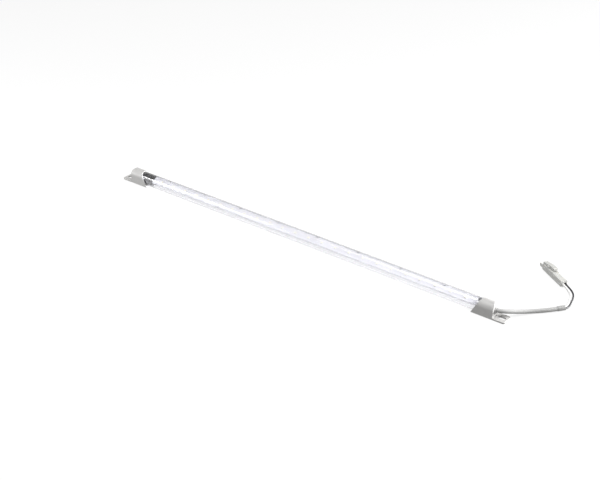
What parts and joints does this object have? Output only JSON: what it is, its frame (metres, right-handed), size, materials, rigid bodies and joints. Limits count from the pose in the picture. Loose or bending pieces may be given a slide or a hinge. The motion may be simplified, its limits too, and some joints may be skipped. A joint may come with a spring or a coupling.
{
  "type": "led light bar",
  "caption": "Slim light bar: an arched clear tube over an LED board, grey end caps with slotted screw ears, and a short lead ending in a latching plug.",
  "frame": {"origin": "middle of the flat plane under the two end caps, on the bar's centre line", "axes": "+X along the bar towards the end with the lead, +Y across the bar towards the side that the lead swings to, +Z out of the mounting plane, the way the light leaves"},
  "size_m": [0.6225, 0.1405, 0.0186],
  "materials": {
    "cap_plastic": "injection-moulded light grey plastic, satin",
    "clear_plastic": "extruded clear polycarbonate, polished",
    "clear_resin": "clear poured silicone resin",
    "dark_foam": "dark closed-cell silicone foam",
    "gasket_rubber": "soft grey silicone rubber",
    "board_laminate": "white solder mask over glass-epoxy laminate",
    "led_package": "white moulded package with yellow phosphor window",
    "resistor_body": "black glazed chip with tinned ends",
    "grommet_rubber": "moulded light grey rubber",
    "white_nylon": "natural white nylon",
    "lead_jacket": "light grey flexible PVC cable jacket",
    "lead_sleeve": "light grey heat-shrink sleeve",
    "black_insulation": "black PVC wire insulation, satin",
    "white_insulation": "white PVC wire insulation, satin",
    "solder": "bright tin solder",
    "tin_plate": "tin-plated brass"
  },
  "bodies": {
    "lamp": {"left_end_cap": "cap_plastic", "right_end_cap": "cap_plastic", "left_gasket": "gasket_rubber", "right_gasket": "gasket_rubber", "clear_tube": "clear_plastic", "board_potting": "clear_resin", "end_dam": "dark_foam", "led_board": "board_laminate", "led_01": "led_package", "led_02": "led_package", "led_03": "led_package", "led_04": "led_package", "led_05": "led_package", "led_06": "led_package", "led_07": "led_package", "led_08": "led_package", "led_09": "led_package", "led_10": "led_package", "led_11": "led_package", "led_12": "led_package", "led_13": "led_package", "led_14": "led_package", "led_15": "led_package", "led_16": "led_package", "led_17": "led_package", "led_18": "led_package", "led_19": "led_package", "led_20": "led_package", "led_21": "led_package", "led_22": "led_package", "led_23": "led_package", "led_24": "led_package", "resistor_1": "resistor_body", "resistor_2": "resistor_body", "resistor_3": "resistor_body", "resistor_4": "resistor_body", "resistor_5": "resistor_body", "resistor_6": "resistor_body", "resistor_7": "resistor_body", "resistor_8": "resistor_body", "cable_grommet": "grommet_rubber", "strain_tie": "white_nylon", "lead_jacket": "lead_jacket", "lead_sleeve": "lead_sleeve", "wire_black": "black_insulation", "wire_white": "white_insulation", "board_wire_black": "black_insulation", "board_wire_white": "white_insulation", "solder_joint_1": "solder", "solder_joint_2": "solder", "plug_housing": "white_nylon", "plug_contact_1": "tin_plate", "plug_contact_2": "tin_plate"},
    "latch": {"plug_latch": "white_nylon"}
  },
  "joints": [
    {"name": "latch_rock", "type": "hinge", "parent": "lamp", "child": "latch", "pos_m": [0.28057, 0.11934, 0.0095], "axis": [0.5432, 0.8396, 0], "range_deg": [0, 10], "stiffness_Nm_per_rad": 0.15}
  ]
}
